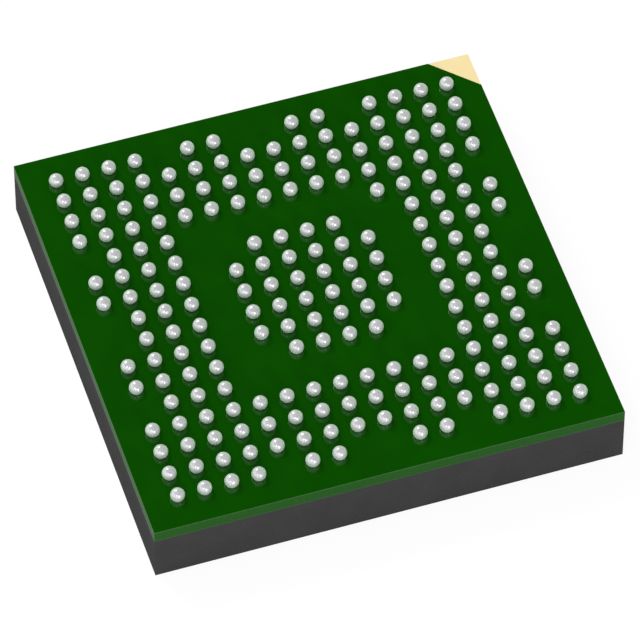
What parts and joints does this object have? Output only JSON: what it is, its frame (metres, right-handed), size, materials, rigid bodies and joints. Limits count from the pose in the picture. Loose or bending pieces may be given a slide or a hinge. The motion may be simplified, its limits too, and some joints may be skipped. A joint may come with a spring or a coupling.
{
  "type": "ball grid array integrated circuit",
  "caption": "Square ball grid array chip package lying ball side up: solder balls on a green laminate board with a gold index corner, over a black mould cap.",
  "frame": {"origin": "middle of the flat marking face of the mould cap, on which the part lies", "axes": "+Z through the thickness towards the solder balls, +X along the ball rows towards column 1, +Y along the columns towards row A, so that ball A1 and the gold corner lie at +X +Y"},
  "size_m": [0.014, 0.014, 0.0023],
  "materials": {
    "mould_compound": "fine matt grey-black epoxy",
    "silicon": "polished silicon",
    "die_adhesive": "silver-filled epoxy",
    "pad_aluminium": "bright thin film",
    "wire_gold": "bright drawn gold",
    "solder_mask": "glossy dark green",
    "laminate": "sawn green laminate",
    "copper": "plated copper",
    "plated_gold": "pale satin gold plate",
    "solder": "satin tin alloy"
  },
  "bodies": {
    "root": {"mould_cap": "mould_compound", "die": "silicon", "die_attach": "die_adhesive", "die_pads": "pad_aluminium", "bond_wires_back": "wire_gold", "bond_wires_front": "wire_gold", "bond_wires_left": "wire_gold", "bond_wires_right": "wire_gold", "die_side_mask": "solder_mask", "die_side_prepreg": "laminate", "core_laminate": "laminate", "ball_side_prepreg": "laminate", "ball_side_mask": "solder_mask", "finger_traces": "copper", "die_paddle": "copper", "corner_caps": "copper", "vias": "copper", "ground_plane": "copper", "power_plane": "copper", "ball_lands": "copper", "index_mark": "plated_gold", "balls_row_a": "solder", "balls_row_b": "solder", "balls_row_c": "solder", "balls_row_d": "solder", "balls_row_e": "solder", "balls_row_f": "solder", "balls_row_g": "solder", "balls_row_h": "solder", "balls_row_j": "solder", "balls_row_k": "solder", "balls_row_l": "solder", "balls_row_m": "solder", "balls_row_n": "solder", "balls_row_p": "solder", "balls_row_r": "solder", "balls_row_t": "solder"}
  },
  "joints": []
}
